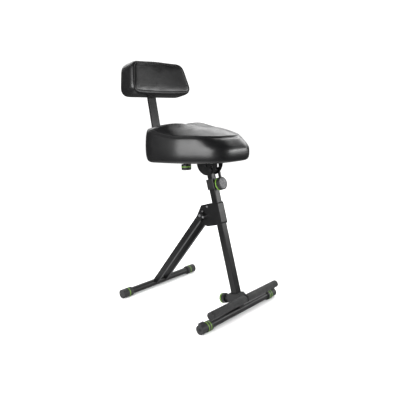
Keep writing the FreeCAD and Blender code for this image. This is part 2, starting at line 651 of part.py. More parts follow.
def footrest():
    tall = "block_top - block_bottom"
    corners = [
        ("block_rear", "block_bottom"), ("block_rear", "block_top"), ("block_front", "block_top"),
        ("footrest_back + cradle_back", "footrest_up + cradle_up"),
        ("footrest_back + cradle_back", "footrest_up"), ("block_front", "block_bottom"),
    ]
    blank = plate("block_blank", "YZ_Plane", corners, "block_width")
    hole = box("block_post_hole", "block_hole", "block_hole", tall + " + 2 * past", z="block_bottom - past")
    web = "grip_gap - 2 * grip_clearance"
    wing = f"( block_width - {web} ) / 2 + past"
    seats = [
        rod("cradle_left", "grip_diameter", wing, "x", x=f"-( {web} ) / 2 - ( {wing} )",
            y="footrest_back", z="footrest_up"),
        rod("cradle_right", "grip_diameter", wing, "x", x=f"( {web} ) / 2", y="footrest_back",
            z="footrest_up"),
        cross_rod("cradle_web", "footrest_tube_diameter", "grip_gap", y="footrest_back", z="footrest_up"),
    ]
    knob_hole = rod("block_screw_hole", "knob_screw_diameter + fit_gap", "block_rear", "y", y="past",
                    z="footrest_up + block_screw_rise")
    bar_hole = rod("block_bar_hole", "end_screw_diameter", "bar_screw_hold", "y", y="footrest_back",
                   z="footrest_up")
    node("footrest_block", "post", cut("block_body", blank, hole, knob_hole, bar_hole, *seats))

    length = "footrest_width - 2 * grip_end_wall"
    bar = cut("footrest_shell",
              cross_rod("footrest_outer", "footrest_tube_diameter", length, "footrest_back", "footrest_up"),
              cross_rod("footrest_inner", "footrest_tube_diameter - 2 * footrest_tube_wall",
                        length + " + past", "footrest_back", "footrest_up"),
              rod("footrest_screw_hole", "end_screw_diameter", "2 * grip_diameter", "y",
                  y="footrest_back - grip_diameter", z="footrest_up"))
    node("footrest_bar", "post", bar)

    grip_length = "( footrest_width - grip_gap ) / 2 - grip_end_wall"
    for side in ("left", "right"):
        tag = f"footrest_grip_{side}"
        start = "grip_gap / 2" if side == "right" else f"-grip_gap / 2 - ( {grip_length} )"
        outer = rod(tag + "_outer", "grip_diameter", grip_length, "x", start, "footrest_back", "footrest_up")
        bore = rod(tag + "_bore", "footrest_tube_diameter", grip_length, "x", start, "footrest_back",
                   "footrest_up")
        node(tag, "post", cut(tag + "_body", outer, bore))

    def end_plug(side):
        tag = f"footrest_plug_{side}"
        edge = "footrest_width / 2 - grip_end_wall"
        disc_start = edge if side == "right" else "-footrest_width / 2"
        stem = "footrest_tube_diameter - 2 * footrest_tube_wall"
        stem_start = f"{edge} - end_plug_length" if side == "right" else f"-( {edge} )"
        disc = rod(tag + "_disc", "grip_diameter", "grip_end_wall", "x", disc_start, "footrest_back",
                   "footrest_up")
        shaft = rod(tag + "_stem", stem, "end_plug_length", "x", stem_start, "footrest_back", "footrest_up")
        return fuse(tag, disc, shaft)

    node("footrest_end_plugs", "post", group("footrest_plugs", *both_sides(end_plug)))
    head = rod("bar_screw_cap", "grip_gap - 2 * grip_clearance", "bar_screw_head", "y",
               y="footrest_back - footrest_tube_diameter / 2 - bar_screw_head", z="footrest_up")
    shank = rod("bar_screw_shank", "end_screw_diameter", "footrest_tube_diameter / 2 + bar_screw_hold", "y",
                y="footrest_back - footrest_tube_diameter / 2", z="footrest_up")
    node("footrest_bar_screw", "post", fuse("bar_screw", head, shank))


# ---- seat post and tilt clamp -------------------------------------------------------------------

def seat_post():
    tall = "inner_post_top - inner_post_bottom"
    outer = soften("inner_rounded",
                   box("inner_bar", "inner_post_width", "inner_post_width", tall, z="inner_post_bottom"),
                   "inner_post_wall", "z")
    hollow = "inner_post_width - 2 * inner_post_wall"
    bore = box("inner_bore", hollow, hollow, tall, z="inner_post_bottom")
    node("inner_post", "post", cut("inner_tube", outer, bore))

    plug = box("glide_plug", hollow, hollow, "glide_length", z="inner_post_bottom")
    foot_width = "post_width - 2 * post_wall - slide_gap"
    foot = box("glide_foot", foot_width, foot_width, "glide_foot_height",
               z="inner_post_bottom - glide_foot_height")
    node("inner_post_glide", "post", fuse("glide", plug, foot))

    column = box("head_column", "head_width", "head_depth", "tilt_pivot_up - head_bottom", z="head_bottom")
    dome = cross_rod("head_dome", "head_dome_diameter", "head_width", z="tilt_pivot_up")
    arm = cross_rod("head_arm", "clamp_arm_diameter", "head_width", "clamp_bolt_back", "clamp_bolt_up")
    neck = box("head_neck", "head_width", "-clamp_bolt_back", "clamp_arm_diameter",
               y="clamp_bolt_back / 2", z="clamp_bolt_up - clamp_arm_diameter / 2")
    pocket = box("head_pocket", "inner_post_width", "inner_post_width",
                 "inner_post_top - head_bottom + past", z="head_bottom - past")
    pivot_hole = cross_rod("head_pivot_hole", "pivot_diameter + fit_gap", "head_width + past",
                           z="tilt_pivot_up")
    clamp_hole = cross_rod("head_clamp_hole", "pivot_diameter", "head_width + past", "clamp_bolt_back",
                           "clamp_bolt_up")
    head = cut("head_body", fuse("head_solid", column, dome, arm, neck), pocket, pivot_hole, clamp_hole)
    node("post_head", "post", head)

    plate_face = "tilt_plate_gap / 2 + tilt_plate_thickness + touch_gap"
    shaft_end = f"{plate_face} + lever_hub_length"
    shaft = rod("clamp_shaft", "pivot_diameter", f"{shaft_end} + {plate_face}", "x", x=f"-( {plate_face} )")
    head_left = rod("clamp_head", "clamp_head_diameter", "clamp_head_height", "x",
                    x=f"-( {plate_face} ) - clamp_head_height")
    head_right = rod("clamp_nut", "clamp_nut_diameter", "clamp_nut_height", "x",
                     x=f"{shaft_end} + touch_gap")
    shank_tip = rod("clamp_tip", "pivot_diameter", "2 * touch_gap", "x", x=shaft_end)
    node("tilt_clamp_bolt", "lever", fuse("clamp_bolt", shaft, head_left, head_right, shank_tip))


def tilt_lever():
    start = "tilt_plate_gap / 2 + tilt_plate_thickness + 2 * touch_gap"
    long = "lever_hub_length - 2 * touch_gap"
    hub = rod("lever_hub", "lever_hub_diameter", long, "x", x=start)
    middle = f"{start} + lever_hub_length / 2"
    arm = box("lever_arm", "lever_thickness", "lever_width", "lever_length", x=middle, z="-lever_length")
    tip = rod("lever_tip", "lever_tip_diameter", "lever_thickness", "x", x=f"{middle} - lever_thickness / 2",
              z="-lever_length")
    bore = rod("lever_bore", "pivot_diameter + fit_gap", "tilt_plate_gap", "x", x="tilt_plate_gap / 2")
    node("tilt_lever", "lever", cut("lever_body", fuse("lever_solid", hub, arm, tip), bore))


def tilt_plates():
    """Two half discs hung under the mounting plate, with an arc slot about the pivot."""
    for side in ("left", "right"):
        tag = f"tilt_plate_{side}"
        middle = f"{sign(side)} * ( tilt_plate_gap + tilt_plate_thickness ) / 2"
        start = f"{middle} - tilt_plate_thickness / 2"
        disc = rod(tag + "_disc", "2 * tilt_plate_radius", "tilt_plate_thickness", "x", start,
                   "tilt_plate_shift", "tilt_plate_top")
        roof = box(tag + "_roof", "tilt_plate_thickness + past", "3 * tilt_plate_radius",
                   "2 * tilt_plate_radius", x=middle, y="tilt_plate_shift", z="tilt_plate_top")
        hole = rod(tag + "_hole", "pivot_diameter", "tilt_plate_thickness", "x", start)
        node(tag, "seat", cut(tag + "_body", disc, roof, hole, arc_slot(tag + "_slot", start)))
    pivot = cross_bolt("tilt_pivot", "pivot_diameter", "tilt_plate_gap + 2 * tilt_plate_thickness",
                       "pivot_head", "pivot_head_height", "0", "0")
    node("tilt_pivot_bolt", "seat", pivot)


def arc_slot(name, start):
    """The slot's tool: a ring sector with round ends."""
    inner = rod(name + "_inner", "2 * tilt_slot_radius - tilt_slot_width", "tilt_plate_thickness", "x", start)
    sector = doc.addObject("Part::Cylinder", name + "_sector")
    first = 180 + size("tilt_slot_start") + size("tilt_slot_spare") - size("tilt_slot_sweep")
    turn_to_x = FreeCAD.Rotation(FreeCAD.Vector(0, 1, 0), 90)
    turn_about_x = FreeCAD.Rotation(X_AXIS, first + 90)
    sector.Placement = FreeCAD.Placement(FreeCAD.Vector(), turn_about_x.multiply(turn_to_x))
    bind(sector, Radius="tilt_slot_radius + tilt_slot_width / 2", Height="tilt_plate_thickness")
    bind(sector, Angle="tilt_slot_sweep", Placement__Base__x=start)
    ends = []
    for label, degrees in (("low", first), ("high", first + size("tilt_slot_sweep"))):
        back, up = turned(size("tilt_slot_radius"), 0, degrees)
        ends.append(rod(f"{name}_{label}", "tilt_slot_width", "tilt_plate_thickness", "x", start,
                        f"{back:.4f}", f"{up:.4f}"))
    return fuse(name, cut(name + "_band", sector, inner), *ends)


# ---- seat ---------------------------------------------------------------------------------------

def seat_outline(name, inset, low, tall):
    """The saddle's plan, broad at the back and narrower at the nose, as an upright solid."""
    rear, front = f"seat_rear - {inset}", f"seat_front + {inset}"
    wide, slim = f"seat_half_width - {inset}", f"seat_front_half_width - {inset}"
    body = doc.addObject("PartDesign::Body", name)
    corners = [(f"-( {wide} )", rear), (f"-( {wide} )", "seat_taper_start"), (f"-( {slim} )", front),
               (slim, front), (wide, "seat_taper_start"), (wide, rear)]
    sketch = outline_sketch(body, name + "_outline", "XY_Plane", corners)
    bind(sketch, AttachmentOffset__Base__z=low)
    pad = body.newObject("PartDesign::Pad", name + "_pad")
    pad.Profile = sketch
    bind(pad, Length=tall)
    doc.recompute()
    rounding = {"rear": f"seat_rear_corner - {inset} / 2", "front": f"seat_front_corner - {inset} / 2"}
    for label, radius in rounding.items():
        round_edges(body, f"{name}_{label}", upright_edges(body.Tip.Shape, label == "rear"), radius)
    return body


def round_edges(body, name, edges, radius):
    """Round some edges of a body's present shape."""
    last = body.Tip
    fillet = body.newObject("PartDesign::Fillet", name)
    fillet.Base = (last, edges)
    bind(fillet, Radius=radius)
    doc.recompute()


def upright_edges(shape, rear):
    """The names of the upright edges at the rear or at the front of a plan."""
    names = []
    box_of = shape.BoundBox
    for number, edge in enumerate(shape.Edges, 1):
        straight = abs(edge.tangentAt(edge.FirstParameter).z) > 0.999
        limit = 1.0
        at_rear = edge.CenterOfMass.y > box_of.YMax - limit
        at_front = edge.CenterOfMass.y < box_of.YMin + limit
        if straight and (at_rear if rear else at_front):
            names.append(f"Edge{number}")
    return names


def screw_places():
    """Where the four seat screws go up through the mounting plate."""
    across = "( mount_plate_width / 2 - seat_screw_inset )"
    along = "( mount_plate_depth / 2 - seat_screw_inset )"
    return [(x, y) for x in (f"-{across}", across)
            for y in (f"tilt_plate_shift - {along}", f"tilt_plate_shift + {along}")]


def screw_shanks(tag):
    """The four shanks, for the screws themselves and for the holes that they fill."""
    return [rod(f"{tag}_{number}", "seat_screw_diameter", "seat_screw_length", "z", x, y, "tilt_plate_top")
            for number, (x, y) in enumerate(screw_places(), 1)]


def seat():
    mount = box("mount_bar", "mount_plate_width", "mount_plate_depth", "mount_plate_thickness",
                y="tilt_plate_shift", z="tilt_plate_top")
    plate_body = cut("mount_plate", soften("mount_rounded", mount, "mount_plate_corner", "z"),
                     *screw_shanks("plate_hole"))
    node("seat_mount_plate", "seat", plate_body)
    board = seat_outline("board_plan", "board_inset", "tilt_plate_top + mount_plate_thickness",
                         "board_thickness")
    node("seat_board", "seat", cut("board_body", board, *screw_shanks("board_hole")))

    screws = []
    for shank, (x, y) in zip(screw_shanks("seat_screw_shank"), screw_places()):
        number = len(screws) + 1
        head = rod(f"seat_screw_head_{number}", "2 * seat_screw_diameter", "seat_screw_head", "z", x, y,
                   "tilt_plate_top - seat_screw_head")
        screws.append(fuse(f"seat_screw_{number}", head, shank))
    node("seat_screws", "seat", group("seat_screw_set", *screws))

    plan = seat_outline("cushion_plan", "0", "seat_bottom", "seat_height")
    profile = [
        ("seat_front - touch_gap", "seat_bottom - past"), ("seat_front - touch_gap", "seat_nose_top"),
        ("seat_front + seat_brow_depth", "seat_brow"), ("seat_dip_back", "seat_dip"),
        ("seat_crown_back", "seat_crown"), ("seat_rear - seat_rear_slope", "seat_crown - seat_rear_drop"),
        ("seat_rear + touch_gap", "seat_crown - seat_rear_drop - seat_rear_slope"),
        ("seat_rear + touch_gap", "seat_bottom - past"),
    ]
    side = plate("cushion_side", "YZ_Plane", profile, "3 * seat_half_width")
    pocket = seat_outline("pocket_plan", "board_inset", "seat_bottom", "board_thickness")
    node("seat_cushion", "seat", cut("cushion_body", overlap("cushion_solid", plan, side), pocket))


# ---- backrest -----------------------------------------------------------------------------------

def backrest_guide():
    """A folded hat section under the seat board that the flat bar slides through."""
    inner = "bar_width + 2 * bar_gap"
    roof = "tilt_plate_top + mount_plate_thickness"
    middle = "guide_start + guide_length / 2"
    tall = f"{roof} - guide_floor"
    shell = box("guide_shell", f"{inner} + 2 * guide_wall", "guide_length", tall, y=middle, z="guide_floor")
    flange = box("guide_flanges", f"{inner} + 2 * ( guide_wall + guide_flange )", "guide_length",
                 "guide_wall", y=middle, z=f"{roof} - guide_wall")
    slot = box("guide_slot", inner, "guide_length + past", tall, y=middle, z="guide_floor + guide_wall")
    screw = rod("guide_screw_hole", "knob_screw_diameter + fit_gap", "2 * guide_wall", "z",
                y="backrest_knob_back", z="guide_floor - guide_wall / 2")
    node("backrest_guide", "seat", cut("guide_body", fuse("guide_solid", shell, flange), slot, screw))


def bent_bar():
    """The flat bar: level under the seat, a round bend, then up and back to the pad."""
    half = size("bar_thickness") / 2
    lean = math.radians(size("bar_lean"))
    turn = math.pi / 2 - lean
    radius = size("bar_bend_radius")
    set_back = radius * math.tan(turn / 2)
    start = FreeCAD.Vector(0, size("bar_start") - size("bar_bend"), 0)
    up_way = FreeCAD.Vector(0, math.sin(lean), math.cos(lean))
    out = FreeCAD.Vector(0, math.cos(lean), -math.sin(lean))
    centre = FreeCAD.Vector(0, -set_back, radius)
    tip = up_way * size("bar_top")

    def offset_path(distance):
        """The bar's side line at a distance below and behind its middle line."""
        reach = radius + distance
        down = FreeCAD.Vector(0, 0, -1)
        middle = (down + out).normalize()
        arc = Part.Arc(centre + down * reach, centre + middle * reach, centre + out * reach)
        first = Part.LineSegment(start + down * distance, centre + down * reach)
        second = Part.LineSegment(centre + out * reach, tip + out * distance)
        return [first.toShape(), arc.toShape(), second.toShape()]

    outer, inner = offset_path(half), offset_path(-half)
    toe = Part.LineSegment(outer[0].Vertexes[0].Point, inner[0].Vertexes[0].Point).toShape()
    top = Part.LineSegment(outer[2].Vertexes[-1].Point, inner[2].Vertexes[-1].Point).toShape()
    face = Part.Face(Part.Wire(Part.sortEdges(outer + inner + [toe, top])[0]))
    width = size("bar_width")
    solid = face.extrude(FreeCAD.Vector(width, 0, 0))
    solid.translate(FreeCAD.Vector(-width / 2, 0, 0))
    for height in ("back_low_bolt", "back_high_bolt"):
        middle = up_way * (size("back_bottom") + size(height))
        hole_radius = size("bracket_bolt_diameter") / 2
        solid = solid.cut(Part.makeCylinder(hole_radius, 4 * half, middle - out * 2 * half, out))
    obj = doc.addObject("Part::Feature", "bent_bar")
    obj.Shape = solid
    return obj


def back_outline(name, inset, low, deep):
    """The pad's front view, a trapezoid with round corners, as a solid along the bar's depth."""
    bottom, top = f"back_bottom + {inset}", f"back_top - {inset}"
    base, crown = f"back_bottom_half_width - {inset}", f"back_top_half_width - {inset}"
    body = doc.addObject("PartDesign::Body", name)
    corners = [(f"-( {base} )", bottom), (base, bottom), (crown, top), (f"-( {crown} )", top)]
    sketch = outline_sketch(body, name + "_outline", "XZ_Plane", corners)
    bind(sketch, AttachmentOffset__Base__z=low)
    pad = body.newObject("PartDesign::Pad", name + "_pad")
    pad.Profile = sketch
    bind(pad, Length=deep)
    doc.recompute()
    middle = (size("back_bottom") + size("back_top")) / 2
    for label, above, radius in (("low", False, "back_bottom_corner"), ("high", True, "back_top_corner")):
        names = []
        for number, edge in enumerate(body.Tip.Shape.Edges, 1):
            level = abs(edge.tangentAt(edge.FirstParameter).y) > 0.999
            if level and (edge.CenterOfMass.z > middle) == above:
                names.append(f"Edge{number}")
        round_edges(body, f"{name}_{label}", names, f"{radius} - {inset} / 2")
    return body


def backrest():
    levels = {"low": "back_bottom + back_low_bolt", "high": "back_bottom + back_high_bolt"}
    shank_length = "( bar_thickness + back_board_thickness - back_bolt_end )"
    shank_start = f"bar_thickness / 2 - {shank_length}"

    def shank(tag, up):
        return rod(tag, "bracket_bolt_diameter", shank_length, "y", y=shank_start, z=up)

    def bolt(tag, up):
        head = rod(tag + "_head", "back_bolt_head", "back_bolt_head_height", "y", y="bar_thickness / 2", z=up)
        return fuse(tag, head, shank(tag + "_shank", up))

    node("backrest_bar", "bar", bent_bar())
    board = back_outline("back_board_plan", "back_board_inset", "bar_thickness / 2", "back_board_thickness")
    holes = [shank(f"board_{level}_hole", up) for level, up in levels.items()]
    node("backrest_board", "backrest", cut("back_board_body", board, *holes))

    deep = "back_board_thickness + back_cushion_thickness"
    block = back_outline("back_cushion_plan", "0", "-bar_thickness / 2",
                         f"bar_thickness + {deep} + back_curve_depth")
    channel = box("back_bar_channel", "bar_width", "bar_thickness", "bar_top + bar_gap - back_bottom + past",
                  z="back_bottom - past")
    pocket = back_outline("back_pocket_plan", "back_board_inset", "bar_thickness / 2",
                          "back_board_thickness")
    hollow = rod("back_hollow", "2 * back_curve_radius", "back_top - back_bottom + 2 * past", "z",
                 y=f"-bar_thickness / 2 - ( {deep} ) - back_curve_radius", z="back_bottom - past")
    node("backrest_cushion", "backrest", cut("back_cushion_solid", block, channel, pocket, hollow))

    bolts = [bolt(f"{level}_bolt", up) for level, up in levels.items()]
    node("backrest_bolts", "backrest", group("back_bolts", *bolts))


front_foot()
leveller("left")
leveller("right")
main_post()
hinge_bracket()
bracket_fasteners()
leg_pivot()
height_collar()
all_knobs()
rear_legs()
rear_foot()
footrest()
seat_post()
tilt_lever()
tilt_plates()
seat()
backrest_guide()
backrest()
doc.recompute()

# Stand the stool over the origin: halfway between its foremost and rearmost points.
whole = FreeCAD.BoundBox()
for piece in nodes:
    whole.add(piece.Shape.BoundBox)
front_y = size("front_foot_y") - (whole.YMin + whole.YMax) / 2
row = list(DRIVING).index("front_foot_y") + 1
sheet.set(f"B{row}", str(round(front_y, 2)))
doc.recompute()

for obj in doc.Objects:
    if "Invalid" in obj.State or "Error" in obj.State:
        raise SystemExit(f"{obj.Label} failed: {obj.State}")
os.makedirs("parts", exist_ok=True)
for piece in nodes:
    if piece.Shape.isNull() or not piece.Shape.isValid() or piece.Shape.Volume <= 0:
        raise SystemExit(f"{piece.Label} has no valid shape")
    piece.Shape.exportStep(f"parts/{piece.Label}.step")
    print(f"{piece.Label:24s} {len(piece.Shape.Solids)} solids {piece.Shape.Volume / 1000:9.1f} cm3")
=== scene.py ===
"""The looks of a tall musician's stool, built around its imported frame.

Cushions with sewn seams, ribbed footrest grips, a material for every piece, and a plain pale
studio. Metres, +Z up, the seat's nose towards -Y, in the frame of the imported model.
"""
import json
import math

import bmesh
import bpy
from mathutils import Matrix, Vector


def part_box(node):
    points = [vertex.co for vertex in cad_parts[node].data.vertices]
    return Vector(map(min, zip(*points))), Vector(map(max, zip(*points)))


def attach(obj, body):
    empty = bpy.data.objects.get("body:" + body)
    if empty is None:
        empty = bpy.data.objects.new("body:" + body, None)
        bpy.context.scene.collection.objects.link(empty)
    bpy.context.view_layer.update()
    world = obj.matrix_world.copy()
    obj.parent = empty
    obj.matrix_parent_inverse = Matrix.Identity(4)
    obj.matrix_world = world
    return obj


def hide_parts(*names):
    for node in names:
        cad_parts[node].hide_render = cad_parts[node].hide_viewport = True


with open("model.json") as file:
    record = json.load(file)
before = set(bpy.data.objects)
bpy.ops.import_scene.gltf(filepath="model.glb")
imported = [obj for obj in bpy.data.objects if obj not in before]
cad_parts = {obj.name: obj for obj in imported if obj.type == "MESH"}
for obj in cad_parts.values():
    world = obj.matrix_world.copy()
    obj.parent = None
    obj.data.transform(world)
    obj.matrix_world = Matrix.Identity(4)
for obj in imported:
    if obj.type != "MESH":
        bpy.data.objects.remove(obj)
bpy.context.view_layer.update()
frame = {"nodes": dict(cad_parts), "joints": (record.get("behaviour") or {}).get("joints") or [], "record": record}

MM = 0.001
X_WAY = Vector((1, 0, 0))


# ---- places read from the frame -----------------------------------------------------------------

def joint(name):
    """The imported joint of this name."""
    return next(j for j in frame["joints"] if j["name"] == name)


def basis_at(origin, back):
    """A local frame: X across the stool, Y along the given way back, Z square to both."""
    back = Vector(back).normalized()
    basis = Matrix((X_WAY, back, X_WAY.cross(back))).transposed().to_4x4()
    basis.translation = Vector(origin)
    return basis


def local_box(node, basis):
    """A node's lowest and highest corners, measured in a local frame."""
    inverse = basis.inverted()
    points = [inverse @ v.co for v in frame["nodes"][node].data.vertices]
    low = Vector([min(p[axis] for p in points) for axis in range(3)])
    high = Vector([max(p[axis] for p in points) for axis in range(3)])
    return low, high


BACK_LEAN = math.radians(12.1)  # the upper bar leans back by this much

seat_basis = basis_at(joint("seat_tilt")["pos_m"], joint("backrest_depth")["axis"])
back_basis = basis_at(joint("backrest_knob_turn")["pos_m"],
                      (0, math.cos(BACK_LEAN), -math.sin(BACK_LEAN)))
front_tube_low, front_tube_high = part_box("front_foot_tube")
front_tube_centre = (front_tube_low + front_tube_high) / 2


# ---- outlines and lofted shells -----------------------------------------------------------------

ARC_STEPS = 24  # straight runs along each rounded corner of an outline
SPINE = 0.06    # size of a top's innermost ring, as a share of its seam


def mesh_piece(name, verts, faces):
    """A smooth-shaded object made of these points and faces."""
    mesh = bpy.data.meshes.new(name)
    mesh.from_pydata([tuple(v) for v in verts], [], faces)
    mesh.polygons.foreach_set("use_smooth", [True] * len(mesh.polygons))
    piece = bpy.data.objects.new(name, mesh)
    bpy.context.scene.collection.objects.link(piece)
    return piece


def smoothstep(start, end, value):
    """0 up to the start and 1 from the end, with a smooth rise between."""
    t = min(1.0, max(0.0, (value - start) / (end - start)))
    return t * t * (3 - 2 * t)


def mix(a, b, t):
    """A share t of the way from a to b."""
    return a + (b - a) * t


def curve(profile, place):
    """A smooth curve through a few (place, height) points, flat beyond its ends."""
    last = len(profile) - 1
    place = min(profile[last][0], max(profile[0][0], place))
    k = max(i for i in range(last) if profile[i][0] <= place)
    before, start, end, after = (profile[min(last, max(0, k + step))] for step in (-1, 0, 1, 2))
    gap = end[0] - start[0]
    t = (place - start[0]) / gap
    leaving = (end[1] - before[1]) / (end[0] - before[0]) * gap
    arriving = (after[1] - start[1]) / (after[0] - start[0]) * gap
    return start[1] * (2 * t ** 3 - 3 * t ** 2 + 1) + leaving * (t ** 3 - 2 * t ** 2 + t) \
        + end[1] * (3 * t ** 2 - 2 * t ** 3) + arriving * (t ** 3 - t ** 2)


def rounded_outline(corners, radii, count, relax):
    """Evenly spaced points round a convex plan with rounded corners, softened by averaging.

    The corners run anticlockwise, and the first point is the middle of the first side.
    """
    dense = []
    total = len(corners)
    for index in range(total):
        here = Vector(corners[index])
        before = Vector(corners[index - 1]) - here
        after = Vector(corners[(index + 1) % total]) - here
        half_angle = before.angle(after) / 2
        reach = radii[index] / math.tan(half_angle)
        middle = here + (before.normalized() + after.normalized()).normalized() \
            * radii[index] / math.sin(half_angle)
        start = here + before.normalized() * reach - middle
        turn = math.pi - 2 * half_angle
        for step in range(ARC_STEPS + 1):
            dense.append(middle + Matrix.Rotation(turn * step / ARC_STEPS, 2) @ start)
    first_middle = (Vector(corners[0]) + Vector(corners[1])) / 2
    first_arc, other_arcs = dense[:ARC_STEPS + 1], dense[ARC_STEPS + 1:]
    points = spaced([first_middle] + other_arcs + first_arc, count)
    for _ in range(relax):
        points = [(points[i - 1] + points[i] * 2 + points[(i + 1) % count]) / 4 for i in range(count)]
    return points


def spaced(loop, count):
    """A closed line of points resampled to an even spacing."""
    closed = list(loop) + [loop[0]]
    lengths = [(b - a).length for a, b in zip(closed, closed[1:])]
    step = sum(lengths) / count
    result, walked, index = [], 0.0, 0
    for number in range(count):
        target = number * step
        while walked + lengths[index] < target:
            walked += lengths[index]
            index += 1
        share = (target - walked) / lengths[index] if lengths[index] else 0.0
        result.append(closed[index].lerp(closed[index + 1], share))
    return result


def outward(points):
    """The outward directions of an anticlockwise closed outline."""
    count = len(points)
    ways = []
    for index in range(count):
        along = (points[(index + 1) % count] - points[index - 1]).normalized()
        ways.append(Vector((along.y, -along.x)))
    return ways


def loft(name, rings, start, end):
    """A closed smooth mesh through rings of equal count, capped at a start and an end point."""
    count = len(rings[0])
    verts = [start] + [point for ring in rings for point in ring] + [end]
    faces = []
    for i in range(count):
        j = (i + 1) % count
        faces.append((0, 1 + j, 1 + i))
        for k in range(len(rings) - 1):
            low, high = 1 + k * count, 1 + (k + 1) * count
            faces.append((low + i, low + j, high + j, high + i))
        top = 1 + (len(rings) - 1) * count
        faces.append((top + i, top + j, len(verts) - 1))
    piece = mesh_piece(name, verts, faces)
    outside = bmesh.new()
    outside.from_mesh(piece.data)
    bmesh.ops.recalc_face_normals(outside, faces=outside.faces)
    outside.to_mesh(piece.data)
    outside.free()
    return piece


# ---- covers blown up by cloth -------------------------------------------------------------------

CLOTH_FRAMES = 20
CLOTH_PRESSURE = 4.0
EVENING_PASSES = 14


def held_points(rings, count):
    """The base point of a lofted mesh, and every point of the rings that the cover is fixed along."""
    return {0} | {1 + ring * count + i for ring in rings for i in range(count)}


def inflate(piece, held, cap):
    """Blow the cover up between its held seams with cloth, then keep the result in the mesh.

    No point may move further than the cap.
    """
    rest = [v.co.copy() for v in piece.data.vertices]
    group = piece.vertex_groups.new(name="held")
    group.add(sorted(held), 1.0, "REPLACE")
    cloth = piece.modifiers.new("inflate", "CLOTH")
    settings = cloth.settings
    settings.quality = 6
    settings.use_pressure = True
    settings.uniform_pressure_force = CLOTH_PRESSURE
    settings.tension_stiffness = 18
    settings.compression_stiffness = 10
    settings.shear_stiffness = 6
    settings.bending_stiffness = 0.4
    settings.vertex_group_mass = "held"
    settings.effector_weights.gravity = 0
    cloth.collision_settings.use_collision = False
    cloth.collision_settings.use_self_collision = False
    scene = bpy.context.scene
    for number in range(1, CLOTH_FRAMES + 1):
        scene.frame_set(number)
    graph = bpy.context.evaluated_depsgraph_get()
    moved = [v.co.copy() for v in piece.evaluated_get(graph).data.vertices]
    piece.modifiers.remove(cloth)
    piece.vertex_groups.remove(group)
    scene.frame_set(1)
    shifts = [new - old for old, new in zip(rest, moved)]
    shifts = [shift * min(1.0, cap / shift.length) if shift.length else shift for shift in shifts]
    for vertex, old, shift in zip(piece.data.vertices, rest, evened(piece.data, shifts, held)):
        vertex.co = old + shift
    piece.data.update()


def evened(mesh, shifts, held):
    """Average each point's movement with its neighbours', so a taut cover keeps no creases."""
    for _ in range(EVENING_PASSES):
        sums = [shift.copy() for shift in shifts]
        counts = [1] * len(shifts)
        for edge in mesh.edges:
            a, b = edge.vertices
            sums[a] += shifts[b]
            sums[b] += shifts[a]
            counts[a] += 1
            counts[b] += 1
        shifts = [old if index in held else total / count
                  for index, (old, total, count) in enumerate(zip(shifts, sums, counts))]
    return shifts


def subdivide(piece):
    """One applied level of smooth subdivision."""
    modifier = piece.modifiers.new("smooth", "SUBSURF")
    modifier.levels = 1
    modifier.render_levels = 1
    graph = bpy.context.evaluated_depsgraph_get()
    mesh = bpy.data.meshes.new_from_object(piece.evaluated_get(graph))
    piece.modifiers.remove(modifier)
    piece.data = mesh


def ring_of(piece, number, count):
    """The present places and outward normals of one ring of a lofted mesh."""
    first = 1 + number * count
    chosen = [piece.data.vertices[first + i] for i in range(count)]
    return [v.co.copy() for v in chosen], [v.normal.copy() for v in chosen]


# ---- sewing -------------------------------------------------------------------------------------

STITCH_PITCH = 5.2 * MM
STITCH_LENGTH = 3.6 * MM
THREAD_RADIUS = 0.42 * MM
THREAD_SIDES = 6
STITCH_PROFILE = [(-0.5, 0.35), (-0.3, 1.0), (0.3, 1.0), (0.5, 0.35)]  # shares of length and radius
SEAM_NEIGHBOUR = 0.35  # how far the rings beside a seam are drawn in, as a share of the seam


def press_seam(piece, seam_ring, count, depth):
    """Draw a seam into the cover, and its neighbours a little less."""
    piece.data.update()
    shifts = {}
    for offset, part in ((0, 1.0), (-1, SEAM_NEIGHBOUR), (1, SEAM_NEIGHBOUR)):
        first = 1 + (seam_ring + offset) * count
        for index in range(first, first + count):
            shifts[index] = piece.data.vertices[index].normal * depth * part
    for index, shift in shifts.items():
        piece.data.vertices[index].co -= shift
    piece.data.update()


def stitch_row(name, points, normals):
    """A row of short thread stitches that follows a closed line on a cover."""
    closed = points + [points[0]]
    total = sum((b - a).length for a, b in zip(closed, closed[1:]))
    count = int(total / STITCH_PITCH)
    places = spaced(points, count)
    facing = spaced([p + n for p, n in zip(points, normals)], count)
    sides = THREAD_SIDES
    verts = []
    faces = []
    for index in range(count):
        along = (places[(index + 1) % count] - places[index - 1]).normalized()
        up = (facing[index] - places[index]).normalized()
        across = along.cross(up).normalized()
        first = len(verts)
        for shift, width in STITCH_PROFILE:
            centre = places[index] + along * shift * STITCH_LENGTH
            for side in range(sides):
                angle = 2 * math.pi * side / sides
                out = across * math.cos(angle) + up * math.sin(angle)
                verts.append(centre + out * THREAD_RADIUS * width)
        rows = [first + step * sides for step in range(len(STITCH_PROFILE))]
        for row in rows[:-1]:
            for side in range(sides):
                a = row + side
                b = row + (side + 1) % sides
                faces.append((a, b, b + sides, a + sides))
        faces.append(tuple(rows[0] + side for side in reversed(range(sides))))
        faces.append(tuple(rows[-1] + side for side in range(sides)))
    return mesh_piece(name, verts, faces)


def sew(piece, seam_ring, count, names):
    """A stitch row on each side of a cover's seam: below it, then above it."""
    rings = [ring_of(piece, seam_ring + offset, count) for offset in (-1, 1)]
    return [stitch_row(name, *ring) for name, ring in zip(names, rings)]


# ---- the saddle ---------------------------------------------------------------------------------

SEAT_COUNT = 208              # points round the saddle
SEAT_TOP_RINGS = 30
